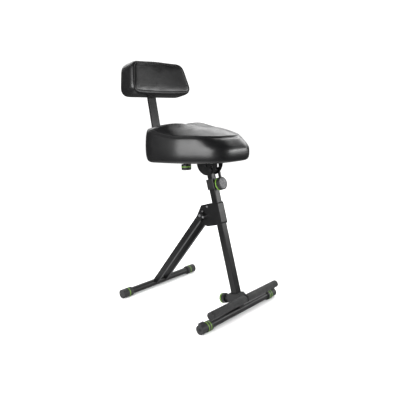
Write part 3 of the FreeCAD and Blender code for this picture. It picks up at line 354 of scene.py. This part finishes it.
# corner radii, anticlockwise from the left of the nose
SEAT_CORNERS = [92 * MM, 92 * MM, 260 * MM, 84 * MM, 84 * MM, 260 * MM]
NOSE_WIDTH = 0.64             # width of the nose's end, as a share of the saddle's
SHOULDER = 0.44               # where the sides start to narrow, from the nose (0) to the rear (1)
NOSE_ROUND = 34 * MM          # how far the wall leans in at the nose by the time it meets the seam
VALLEY_DEPTH = 6 * MM         # the groove along the middle of the broad rear
VALLEY_WIDTH = 50 * MM

# (how far in from the widest outline, height as a share of the way from the base to the top seam)
SEAT_WALL = [(0.030, 0.00), (0.018, 0.00), (0.0085, 0.035), (0.004, 0.09), (0.0015, 0.17), (0.0, 0.27),
             (0.0, 0.38), (0.0005, 0.49), (0.0015, 0.60), (0.003, 0.71), (0.005, 0.81), (0.0075, 0.90),
             (0.0095, 0.96), (0.0115, 1.00)]

# heights from the nose (0) to the rear (1), as shares of the cushion's full height
SEAM_PROFILE = [(0.0, 0.62), (0.14, 0.645), (0.25, 0.66), (0.45, 0.675), (0.60, 0.71), (0.70, 0.77),
                (0.82, 0.85), (1.0, 0.89)]
RIDGE_PROFILE = [(0.0, 0.56), (0.09, 0.65), (0.17, 0.755), (0.25, 0.812), (0.34, 0.855), (0.435, 0.88),
                 (0.545, 0.955), (0.66, 1.012), (0.80, 1.012), (1.0, 0.96)]


def seat_cushion():
    """The saddle and its two rows of stitches: a wall up to a sewn seam, and a dished top."""
    low, high = local_box("seat_cushion", seat_basis)
    rear = high.y + 1 * MM
    nose = low.y - 5 * MM
    half = high.x + 1 * MM
    nose_half = high.x * NOSE_WIDTH
    shoulder = mix(nose, rear, SHOULDER)
    base = low.z
    full = high.z - low.z
    plan = [(-nose_half, nose), (nose_half, nose), (half, shoulder), (half, rear), (-half, rear),
            (-half, shoulder)]
    outline = rounded_outline(plan, SEAT_CORNERS, SEAT_COUNT, relax=12)
    ways = outward(outline)

    def share(y):
        """How far back a point is: 0 at the nose and 1 at the rear."""
        return (y - nose) / (rear - nose)

    def seam_height(y):
        """How high the seam runs at this place along the saddle."""
        return base + full * curve(SEAM_PROFILE, share(y))

    def lean(y, climb):
        """The wall stands upright along the sides and rounds over at the nose."""
        bull = 1 - smoothstep(0.03, 0.26, share(y))
        return NOSE_ROUND * bull * max(0.0, 2 * climb - 1) ** 1.5

    def top_height(point, edge, inward):
        """The dished top: a steep rise inside the seam, then a broad crown with a soft valley."""
        rise = 1 - (1 - inward) ** 3.2
        back = share(point.y)
        height = mix(seam_height(edge.y), base + full * curve(RIDGE_PROFILE, back), rise)
        valley = math.exp(-(point.x / VALLEY_WIDTH) ** 2) * smoothstep(0.40, 0.62, back)
        return height - VALLEY_DEPTH * valley * smoothstep(0.1, 0.5, inward)

    rings = []
    for inset, climb in SEAT_WALL:
        ring = []
        for point, way in zip(outline, ways):
            at = point - way * (inset + lean(point.y, climb))
            ring.append(Vector((at.x, at.y, mix(base, seam_height(point.y), climb))))
        rings.append(ring)
    seam_ring = len(rings) - 1
    middle_y = (nose + rear) / 2
    seam = [Vector((p.x, p.y)) for p in rings[seam_ring]]
    for step in range(1, SEAT_TOP_RINGS):
        inward = (step / SEAT_TOP_RINGS) ** 1.25
        ring = []
        for edge in seam:
            spine = Vector((edge.x * SPINE, middle_y + (edge.y - middle_y) * SPINE))
            at = edge.lerp(spine, inward)
            ring.append(Vector((at.x, at.y, top_height(at, edge, inward))))
        rings.append(ring)
    start = Vector((0, middle_y, base))
    end = sum(rings[-1], Vector()) / len(rings[-1])
    piece = loft("saddle_cushion", [[seat_basis @ p for p in ring] for ring in rings],
                 seat_basis @ start, seat_basis @ end)
    inflate(piece, held_points((0, 1, seam_ring), SEAT_COUNT), cap=3 * MM)
    press_seam(piece, seam_ring, SEAT_COUNT, depth=3.4 * MM)
    sewn = sew(piece, seam_ring, SEAT_COUNT, ("saddle_stitches_low", "saddle_stitches_high"))
    subdivide(piece)
    return piece, sewn


# ---- the backrest pad ---------------------------------------------------------------------------

BACK_COUNT = 176              # points round the pad
BACK_PANEL_RINGS = 20
# corner radii: the bottom two, then right, middle and left along the top
BACK_CORNERS = [30 * MM, 30 * MM, 40 * MM, 600 * MM, 40 * MM]
BACK_NARROW = 0.82            # width of the top, as a share of the bottom
BACK_ARCH = 7 * MM            # how far the middle of the top edge stands above its ends
BACK_HOLLOW = 20 * MM         # how far the middle of the front lies behind its ends
PANEL_EDGE = 0.985            # depth of the front panel at its seam, as a share of the full depth

# (how far in from the outline, how far forward of the pad's rear face, as a share of its depth)
BACK_WALL = [(0.024, 0.00), (0.012, 0.00), (0.0065, 0.03), (0.003, 0.08), (0.001, 0.15), (0.0, 0.25),
             (0.0, 0.42), (0.0, 0.60), (0.0, 0.74), (0.001, 0.84), (0.003, 0.91), (0.006, 0.955),
             (0.0095, 0.98), (0.013, PANEL_EDGE)]


def back_cushion():
    """The backrest pad and its two rows of stitches: a deep wall and a hollowed front panel."""
    low, high = local_box("backrest_cushion", back_basis)
    wide = high.x + 3 * MM
    narrow = wide * BACK_NARROW
    bottom = low.z + 1 * MM
    top = high.z - 1 * MM
    rear = high.y - 1 * MM
    deep = rear - low.y
    ends = top - BACK_ARCH
    plan = [(-wide, bottom), (wide, bottom), (narrow, ends), (0, top), (-narrow, ends)]
    outline = rounded_outline(plan, BACK_CORNERS, BACK_COUNT, relax=5)
    ways = outward(outline)
    mid_z = (bottom + top) / 2

    def hollow(x):
        """The front is hollowed for a back: its ends stand forward of its middle."""
        return BACK_HOLLOW * (1 - (x / wide) ** 2)

    rings = []
    for inset, forward in BACK_WALL:
        ring = []
        for point, way in zip(outline, ways):
            at = point - way * inset
            ring.append(Vector((at.x, rear - forward * (deep - hollow(at.x)), at.y)))
        rings.append(ring)
    seam_ring = len(rings) - 1
    seam = rings[seam_ring]
    for step in range(1, BACK_PANEL_RINGS):
        inward = (step / BACK_PANEL_RINGS) ** 1.3
        ring = []
        for edge in seam:
            spine = Vector((edge.x * SPINE, 0, mid_z + (edge.z - mid_z) * SPINE))
            at = edge.lerp(spine, inward)
            puff = mix(PANEL_EDGE, 1.0, 1 - (1 - inward) ** 6)
            ring.append(Vector((at.x, rear - puff * (deep - hollow(at.x)), at.z)))
        rings.append(ring)
    start = Vector((0, rear, mid_z))
    end = sum(rings[-1], Vector()) / len(rings[-1])
    piece = loft("backrest_pad", [[back_basis @ p for p in ring] for ring in rings],
                 back_basis @ start, back_basis @ end)
    inflate(piece, held_points((0, 1, seam_ring), BACK_COUNT), cap=1.2 * MM)
    press_seam(piece, seam_ring, BACK_COUNT, depth=2.6 * MM)
    sewn = sew(piece, seam_ring, BACK_COUNT, ("backrest_stitches_outer", "backrest_stitches_inner"))
    subdivide(piece)
    return piece, sewn


# ---- footrest grips -----------------------------------------------------------------------------

GRIP_RIBS = 26
POINTS_PER_RIB = 8
GRIP_LENGTHS = 12             # spans between the two softened ends
RIB_DEPTH = 0.9 * MM
GRIP_END_ROUND = 1.6 * MM


def footrest_grip(side):
    """A rubber sleeve with ribs along it and softened ends, in place of the plain CAD sleeve."""
    node = f"footrest_grip_{side}"
    low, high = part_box(node)
    centre = (low + high) / 2
    bar_low, bar_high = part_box("footrest_bar")
    bore = (bar_high.z - bar_low.z) / 2
    radius = (high.z - low.z) / 2
    around = GRIP_RIBS * POINTS_PER_RIB

    def ring(x, shrink, ribbed):
        """Points round the sleeve at x, this much inside its full radius."""
        points = []
        for index in range(around):
            angle = 2 * math.pi * index / around
            groove = RIB_DEPTH * (0.5 - 0.5 * math.cos(GRIP_RIBS * angle)) ** 3 if ribbed else 0.0
            reach = radius - shrink - groove
            points.append((x, centre.y + reach * math.cos(angle), centre.z + reach * math.sin(angle)))
        return points

    ends = [(0.0, radius - bore, False), (0.0, GRIP_END_ROUND, False), (0.3, GRIP_END_ROUND * 0.3, True),
            (1.0, 0.0, True)]
    rows = [ring(low.x + GRIP_END_ROUND * x, shrink, ribbed) for x, shrink, ribbed in ends]
    rows += [ring(mix(low.x, high.x, step / GRIP_LENGTHS), 0.0, True) for step in range(1, GRIP_LENGTHS)]
    rows += [ring(high.x - GRIP_END_ROUND * x, shrink, ribbed) for x, shrink, ribbed in reversed(ends)]
    verts = [point for row in rows for point in row]
    faces = []
    for row in range(len(rows)):
        here = row * around
        after = (row + 1) % len(rows) * around
        for i in range(around):
            j = (i + 1) % around
            faces.append((here + i, after + i, after + j, here + j))
    piece = mesh_piece(f"ribbed_grip_{side}", verts, faces)
    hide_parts(node)
    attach(piece, "footrest")
    return piece


# ---- materials ----------------------------------------------------------------------------------

class Shade:
    """A node material under construction, placed by the object's own coordinates in metres."""

    def __init__(self, name, colour, roughness, metallic=0.0, **sockets):
        self.material = bpy.data.materials.new(name)
        self.material.use_nodes = True
        self.tree = self.material.node_tree
        self.skin = self.tree.nodes["Principled BSDF"]
        self.skin.inputs["Base Color"].default_value = (*colour, 1.0)
        self.skin.inputs["Roughness"].default_value = roughness
        self.skin.inputs["Metallic"].default_value = metallic
        for socket, value in sockets.items():
            self.skin.inputs[socket.replace("_", " ")].default_value = value
        self.place = self.add("TexCoord").outputs["Object"]
        self.normal = None

    def add(self, kind, **settings):
        """A new shader node with its settings."""
        node = self.tree.nodes.new("ShaderNode" + kind)
        for key, value in settings.items():
            setattr(node, key, value)
        return node

    def feed(self, node, socket, value):
        """Link another node's output to a socket, or set the socket to a number."""
        if isinstance(value, bpy.types.NodeSocket):
            self.tree.links.new(value, node.inputs[socket])
        else:
            node.inputs[socket].default_value = value

    def noise(self, scale, detail=3.0, roughness=0.55, place=None):
        """Cloudy noise, with this many waves to the metre."""
        node = self.add("TexNoise")
        self.feed(node, "Vector", place or self.place)
        self.feed(node, "Scale", scale)
        self.feed(node, "Detail", detail)
        self.feed(node, "Roughness", roughness)
        return node.outputs["Fac"]

    def cells(self, scale, feature="F1"):
        """Rounded cells, with this many to the metre."""
        node = self.add("TexVoronoi", feature=feature)
        self.feed(node, "Vector", self.place)
        self.feed(node, "Scale", scale)
        return node.outputs["Distance"]

    def stretched(self, x, y, z):
        """The object's coordinates scaled apart, for a grain that runs one way."""
        node = self.add("Mapping")
        self.feed(node, "Vector", self.place)
        self.feed(node, "Scale", (x, y, z))
        return node.outputs["Vector"]

    def spread(self, value, low, high, to_low, to_high):
        """Stretch the range low to high over another range, and clamp it there."""
        node = self.add("MapRange")
        for socket, number in zip(("Value", "From Min", "From Max", "To Min", "To Max"),
                                  (value, low, high, to_low, to_high)):
            self.feed(node, socket, number)
        return node.outputs["Result"]

    def product(self, first, second):
        """The product of two outputs."""
        node = self.add("Math", operation="MULTIPLY")
        self.feed(node, 0, first)
        self.feed(node, 1, second)
        return node.outputs[0]

    def rough(self, value, low, high):
        """Let the roughness wander between two values."""
        self.feed(self.skin, "Roughness", self.spread(value, 0.3, 0.7, low, high))

    def tint(self, factor, dark, light):
        """Let the colour wander between two colours."""
        node = self.add("Mix", data_type="RGBA")
        self.tree.links.new(factor, node.inputs[0])
        node.inputs[6].default_value = (*dark, 1.0)
        node.inputs[7].default_value = (*light, 1.0)
        self.feed(self.skin, "Base Color", node.outputs[2])

    def bump(self, height, strength, distance):
        """Add relief this deep on top of the relief so far."""
        node = self.add("Bump")
        self.feed(node, "Height", height)
        self.feed(node, "Strength", strength)
        self.feed(node, "Distance", distance)
        if self.normal is not None:
            self.feed(node, "Normal", self.normal)
        self.normal = node.outputs["Normal"]
        self.feed(self.skin, "Normal", self.normal)

    def rounded_edges(self, radius):
        """Shade sharp edges as if they had a small radius."""
        node = self.add("Bevel", samples=4)
        self.feed(node, "Radius", radius)
        self.normal = node.outputs["Normal"]
        self.feed(self.skin, "Normal", self.normal)

    def worn_edges(self, radius, strength):
        """A mask that is high along edges, broken up by noise."""
        bevel = self.add("Bevel", samples=4)
        self.feed(bevel, "Radius", radius)
        flat = self.add("NewGeometry")
        dot = self.add("VectorMath", operation="DOT_PRODUCT")
        self.feed(dot, 0, bevel.outputs["Normal"])
        self.feed(dot, 1, flat.outputs["Normal"])
        edge = self.spread(dot.outputs["Value"], 0.98, 0.80, 0.0, strength)
        return self.product(edge, self.spread(self.noise(140.0), 0.42, 0.62, 0.0, 1.0))


def powder_coat():
    """Black powder coat: fine orange peel, edges rubbed a little lighter."""
    shade = Shade("powder_coat", (0.004, 0.004, 0.0043), 0.36, Specular_IOR_Level=0.34, Coat_Weight=0.06,
                  Coat_Roughness=0.25)
    shade.rounded_edges(0.9 * MM)
    shade.tint(shade.worn_edges(1.2 * MM, 0.8), (0.0035, 0.0035, 0.0038), (0.042, 0.042, 0.045))
    shade.rough(shade.noise(18.0, 5.0), 0.30, 0.46)
    shade.bump(shade.noise(1500.0, 2.0), 0.22, 0.25 * MM)
    return shade.material


def faux_leather():
    """Glossy black faux leather: pebbled grain under a thin sheen, smudged by handling."""
    shade = Shade("faux_leather", (0.0035, 0.0035, 0.0038), 0.36, Coat_Weight=0.25, Coat_Roughness=0.20)
    shade.tint(shade.noise(7.0, 4.0), (0.0025, 0.0025, 0.0028), (0.0045, 0.0045, 0.005))
    shade.rough(shade.noise(22.0, 6.0), 0.30, 0.44)
    pebbles = shade.spread(shade.cells(780.0, "DISTANCE_TO_EDGE"), 0.0, 0.28, 0.0, 1.0)
    shade.bump(pebbles, 0.30, 0.22 * MM)
    shade.bump(shade.noise(260.0, 3.0), 0.18, 0.5 * MM)
    shade.bump(shade.noise(34.0, 2.0), 0.10, 1.6 * MM)
    return shade.material


def thread():
    """Black bonded thread with its twist."""
    shade = Shade("thread", (0.016, 0.016, 0.017), 0.55)
    wave = shade.add("TexWave", wave_type="BANDS", bands_direction="DIAGONAL")
    shade.feed(wave, "Vector", shade.place)
    shade.feed(wave, "Scale", 900.0)
    shade.bump(wave.outputs["Fac"], 0.5, 0.15 * MM)
    shade.rough(shade.noise(300.0), 0.48, 0.65)
    return shade.material


def moulded_rubber():
    """Dull black rubber, dusty in places."""
    shade = Shade("moulded_rubber", (0.010, 0.010, 0.0105), 0.5)
    shade.rounded_edges(0.8 * MM)
    shade.tint(shade.spread(shade.noise(26.0, 6.0), 0.48, 0.75, 0.0, 1.0), (0.009, 0.009, 0.0095),
               (0.020, 0.0195, 0.019))
    shade.rough(shade.noise(60.0, 4.0), 0.42, 0.60)
    shade.bump(shade.noise(900.0, 3.0), 0.25, 0.3 * MM)
    return shade.material


def moulded_plastic():
    """Black moulded nylon with a spark-eroded surface."""
    shade = Shade("moulded_plastic", (0.008, 0.008, 0.0085), 0.42)
    shade.rounded_edges(0.6 * MM)
    shade.tint(shade.worn_edges(0.9 * MM, 0.5), (0.007, 0.007, 0.0075), (0.04, 0.04, 0.042))
    shade.rough(shade.noise(40.0, 4.0), 0.34, 0.52)
    shade.bump(shade.cells(1100.0), 0.22, 0.2 * MM)
    return shade.material


def lime_plastic():
    """Lime-green rings, slightly translucent and a little scuffed."""
    shade = Shade("lime_plastic", (0.10, 0.215, 0.016), 0.40, Subsurface_Weight=0.04)
    shade.rounded_edges(0.5 * MM)
    shade.tint(shade.noise(120.0, 4.0), (0.08, 0.18, 0.012), (0.125, 0.25, 0.024))
    shade.rough(shade.noise(90.0, 4.0), 0.30, 0.46)
    shade.bump(shade.noise(1200.0, 2.0), 0.10, 0.2 * MM)
    return shade.material


def knob_face():
    """A grey disc of coarse speckle, light and dark."""
    shade = Shade("knob_face", (0.08, 0.08, 0.082), 0.48, metallic=0.3)
    shade.tint(shade.spread(shade.noise(240.0, 5.0), 0.38, 0.62, 0.0, 1.0), (0.028, 0.028, 0.03),
               (0.14, 0.14, 0.144))
    shade.rough(shade.noise(150.0, 4.0), 0.38, 0.56)
    shade.bump(shade.cells(420.0), 0.6, 0.5 * MM)
    return shade.material


def plated_steel(name, dark, light):
    """Plated steel: finely turned, with dull patches."""
    shade = Shade(name, light, 0.42, metallic=1.0)
    shade.rounded_edges(0.5 * MM)
    shade.tint(shade.noise(80.0, 5.0), dark, light)
    shade.rough(shade.noise(140.0, 5.0), 0.34, 0.52)
    shade.bump(shade.noise(500.0, 2.0, place=shade.stretched(0.1, 1.0, 1.0)), 0.2, 0.1 * MM)
    return shade.material


def zinc():
    """Bright zinc plating."""
    return plated_steel("zinc", (0.30, 0.30, 0.31), (0.52, 0.52, 0.53))


def black_zinc():
    """Black zinc plating."""
    return plated_steel("black_zinc", (0.028, 0.028, 0.030), (0.075, 0.075, 0.080))


def stained_plywood():
    """Black-stained plywood: grain along X on the faces, and plies that show on the edge."""
    shade = Shade("stained_plywood", (0.024, 0.021, 0.019), 0.62)
    grain = shade.noise(90.0, 6.0, 0.6, place=shade.stretched(0.06, 1.0, 1.0))
    plies = shade.add("TexWave", wave_type="BANDS", bands_direction="Z")
    shade.feed(plies, "Vector", shade.place)
    shade.feed(plies, "Scale", 110.0)
    both = shade.product(grain, shade.spread(plies.outputs["Fac"], 0.0, 1.0, 0.7, 1.15))
    shade.tint(shade.spread(both, 0.25, 0.75, 0.0, 1.0), (0.013, 0.012, 0.011), (0.045, 0.038, 0.033))
    shade.rough(grain, 0.52, 0.72)
    shade.bump(grain, 0.3, 0.4 * MM)
    return shade.material


def wear(piece, material):
    """Give a whole piece one material."""
    piece.data.materials.clear()
    piece.data.materials.append(material)


def dress_cad(looks):
    """Put the right look in the material slots of every CAD node, by the record's own slots."""
    for part in frame["record"]["subparts"]:
        mesh = frame["nodes"][part["node"]].data
        if not mesh.materials:
            mesh.materials.append(None)
        for index in range(len(mesh.materials)):
            mesh.materials[index] = looks[part["material_slot"]]


# ---- the studio ---------------------------------------------------------------------------------

VIEW_AZIMUTH = math.radians(-47.8)
VIEW_ELEVATION = math.radians(11.76)
VIEW_DISTANCE = 1.928
VIEW_BACK = 0.215             # the aim, behind the front tube
VIEW_HEIGHT = 0.4433          # the aim, above the floor
LENS = 40.75                  # on the default 36 mm sensor
FAR = 60                      # nothing further than this is drawn
LIGHT_AIM = (0, 0, 0.7)       # all the softboxes face this point
SURROUND = 1.25               # brightness of the white surround
SURROUND_MIRRORED = 0.06      # its brightness in reflections
FLOOR_REACH = 14              # from the middle of the floor to each side
FLOOR_NEAR = 0.35             # the floor's reflection starts to fade here, out from the stool's middle
FLOOR_AWAY = 0.85             # and has faded here


def camera():
    """The camera: from the front left, just above the saddle."""
    data = bpy.data.cameras.new("camera")
    data.lens = LENS
    data.clip_end = FAR
    eye = bpy.data.objects.new("camera", data)
    bpy.context.scene.collection.objects.link(eye)
    aim = Vector((0, front_tube_centre.y + VIEW_BACK, VIEW_HEIGHT))
    away = Vector((math.sin(VIEW_AZIMUTH) * math.cos(VIEW_ELEVATION),
                   -math.cos(VIEW_AZIMUTH) * math.cos(VIEW_ELEVATION), math.sin(VIEW_ELEVATION)))
    eye.location = aim + away * VIEW_DISTANCE
    eye.rotation_euler = (-away).to_track_quat("-Z", "Y").to_euler()
    bpy.context.scene.camera = eye


def softbox(name, place, wide, tall, watts):
    """A rectangular light, which the camera itself doesn't see."""
    data = bpy.data.lights.new(name, "AREA")
    data.shape = "RECTANGLE"
    data.size = wide
    data.size_y = tall
    data.energy = watts
    lamp = bpy.data.objects.new(name, data)
    bpy.context.scene.collection.objects.link(lamp)
    lamp.visible_camera = False
    lamp.location = place
    lamp.rotation_euler = (Vector(LIGHT_AIM) - Vector(place)).to_track_quat("-Z", "Y").to_euler()


def two_toned(tree, plain, mirrored):
    """Join two shaders, the second of them seen only in reflections."""
    path = tree.nodes.new("ShaderNodeLightPath")
    choose = tree.nodes.new("ShaderNodeMixShader")
    tree.links.new(path.outputs["Is Glossy Ray"], choose.inputs["Fac"])
    tree.links.new(plain, choose.inputs[1])
    tree.links.new(mirrored, choose.inputs[2])
    return choose.outputs["Shader"]


def backdrop():
    """A white surround that is nearly dark in reflections, so the lights make the highlights."""
    world = bpy.data.worlds.new("surround")
    bpy.context.scene.world = world
    world.use_nodes = True
    tree = world.node_tree
    seen = tree.nodes["Background"]
    dim = tree.nodes.new("ShaderNodeBackground")
    for node, strength in ((seen, SURROUND), (dim, SURROUND_MIRRORED)):
        node.inputs["Color"].default_value = (1, 1, 1, 1)
        node.inputs["Strength"].default_value = strength
    surface = two_toned(tree, seen.outputs["Background"], dim.outputs["Background"])
    tree.links.new(surface, tree.nodes["World Output"].inputs["Surface"])


def paper_floor():
    """A pale paper floor that fades away from the stool in reflections."""
    ways = ((-1, -1), (1, -1), (1, 1), (-1, 1))
    floor = mesh_piece("floor", [(x * FLOOR_REACH, y * FLOOR_REACH, 0) for x, y in ways], [(0, 1, 2, 3)])
    paper = Shade("paper", (0.90, 0.90, 0.90), 0.85)
    paper.rough(paper.noise(3.0), 0.8, 0.9)
    reach = paper.add("VectorMath", operation="LENGTH")
    paper.feed(reach, 0, paper.place)
    mirrored = paper.add("BsdfDiffuse")
    faded = paper.spread(reach.outputs["Value"], FLOOR_NEAR, FLOOR_AWAY, 0.50, 0.05)
    paper.feed(mirrored, "Color", faded)
    surface = two_toned(paper.tree, paper.skin.outputs["BSDF"], mirrored.outputs["BSDF"])
    paper.tree.links.new(surface, paper.tree.nodes["Material Output"].inputs["Surface"])
    wear(floor, paper.material)


def studio():
    """A pale floor and surround, and four softboxes round the stool."""
    paper_floor()
    backdrop()
    softbox("front right", (2.3, -2.1, 1.15), wide=2.2, tall=0.8, watts=42)
    softbox("left", (-3.0, -0.25, 1.45), wide=3.4, tall=2.5, watts=172)
    softbox("behind", (1.4, 2.1, 2.55), wide=4.0, tall=2.2, watts=64)
    softbox("right", (2.5, 0.3, 1.75), wide=1.5, tall=1.0, watts=15)
    bpy.context.scene.view_settings.view_transform = "Standard"


# ---- everything ---------------------------------------------------------------------------------

camera()
studio()

leather = faux_leather()
stitching = thread()
rubber = moulded_rubber()
looks = {
    "frame_black": powder_coat(),
    "rubber_black": rubber,
    "plastic_black": moulded_plastic(),
    "plastic_grey": knob_face(),
    "ring_green": lime_plastic(),
    "cover_black": leather,
    "zinc_steel": zinc(),
    "screw_black": black_zinc(),
    "board_black": stained_plywood(),
}
dress_cad(looks)

for make, body, node in ((seat_cushion, "seat", "seat_cushion"), (back_cushion, "back", "backrest_cushion")):
    cushion, rows = make()
    wear(cushion, leather)
    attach(cushion, body)
    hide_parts(node)
    for row in rows:
        wear(row, stitching)
        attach(row, body)

for side in ("left", "right"):
    wear(footrest_grip(side), rubber)
